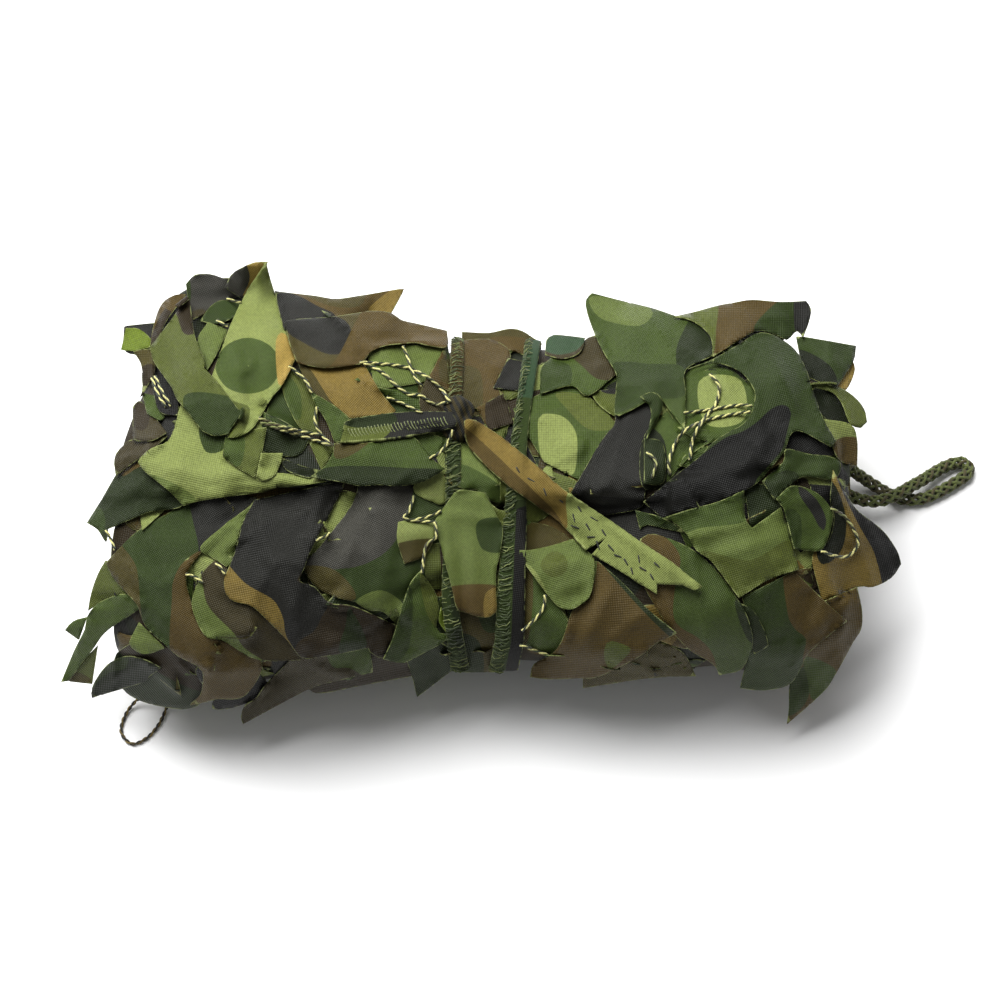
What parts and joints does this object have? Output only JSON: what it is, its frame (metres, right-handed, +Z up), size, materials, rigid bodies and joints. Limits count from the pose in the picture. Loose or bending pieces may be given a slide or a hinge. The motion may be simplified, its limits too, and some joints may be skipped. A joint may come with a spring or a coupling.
{
  "type": "camouflage net",
  "caption": "Rolled camouflage net of die-cut leaf cloth, tied round the middle with a knotted strip of the same cloth; a corner rope loop shows at one end.",
  "frame": {"origin": "middle of the bounding box without the cords, at its bottom: on the surface that the roll lies on", "axes": "+X along the roll towards the end with the rope loop, +Y to the back of the roll, +Z up"},
  "size_m": [0.3875, 0.1896, 0.1199],
  "materials": {
    "net_cloth": "satin woven polyester, printed in green, olive, tan and black, raw cut edges",
    "tie_cloth": "the same woven polyester cut in a narrow strip, its edge overlocked and frayed",
    "rope": "braided olive green cord, matt",
    "twine": "thin two-ply twisted twine, dull"
  },
  "bodies": {
    "root": {"rolled_net": "net_cloth", "tie_band_left": "tie_cloth", "tie_band_right": "tie_cloth", "tie_knot": "tie_cloth", "tie_tail_left": "tie_cloth", "tie_tail_right": "tie_cloth", "corner_rope_loop": "rope", "twine_loop": "twine"}
  },
  "joints": []
}
